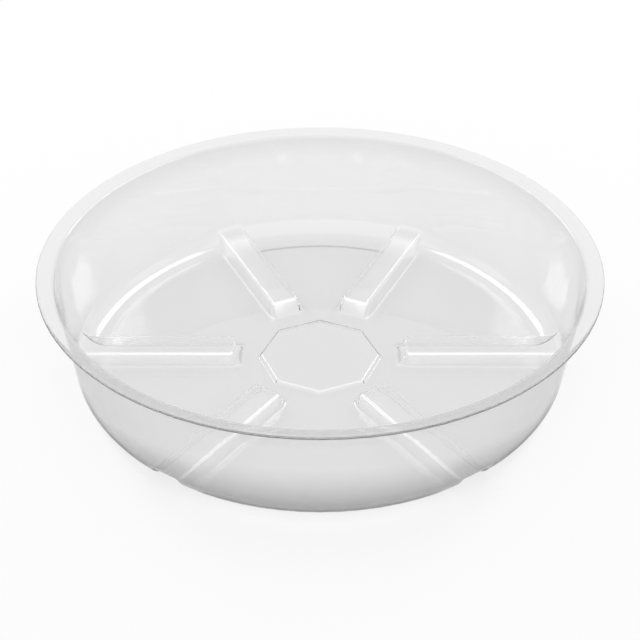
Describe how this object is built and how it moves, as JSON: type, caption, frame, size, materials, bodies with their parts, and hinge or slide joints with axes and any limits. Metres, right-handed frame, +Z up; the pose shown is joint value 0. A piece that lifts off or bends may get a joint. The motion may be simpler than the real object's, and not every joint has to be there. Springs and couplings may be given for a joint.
{
  "type": "plant saucer",
  "caption": "Round clear plastic drip saucer with a flared rim, drafted wall, rounded heel, raised radial ribs and an octagonal centre pad; stands under a plant pot and catches its water.",
  "frame": {"origin": "middle of the underside, on the surface that the saucer stands on", "axes": "+Z up through the middle of the bowl, +X along a side rib, -Y towards the front of the picture"},
  "size_m": [0.2032, 0.2032, 0.0459],
  "materials": {
    "clear_sheet": "clear, glossy formed sheet"
  },
  "bodies": {
    "root": {"rim_flange": "clear_sheet", "side_wall": "clear_sheet", "heel_right_back": "clear_sheet", "heel_back": "clear_sheet", "heel_left_back": "clear_sheet", "heel_left_front": "clear_sheet", "heel_front": "clear_sheet", "heel_right_front": "clear_sheet", "floor_panel": "clear_sheet", "centre_pad": "clear_sheet", "support_rib_right": "clear_sheet", "support_rib_back_right": "clear_sheet", "support_rib_back_left": "clear_sheet", "support_rib_left": "clear_sheet", "support_rib_front_left": "clear_sheet", "support_rib_front_right": "clear_sheet"}
  },
  "joints": []
}
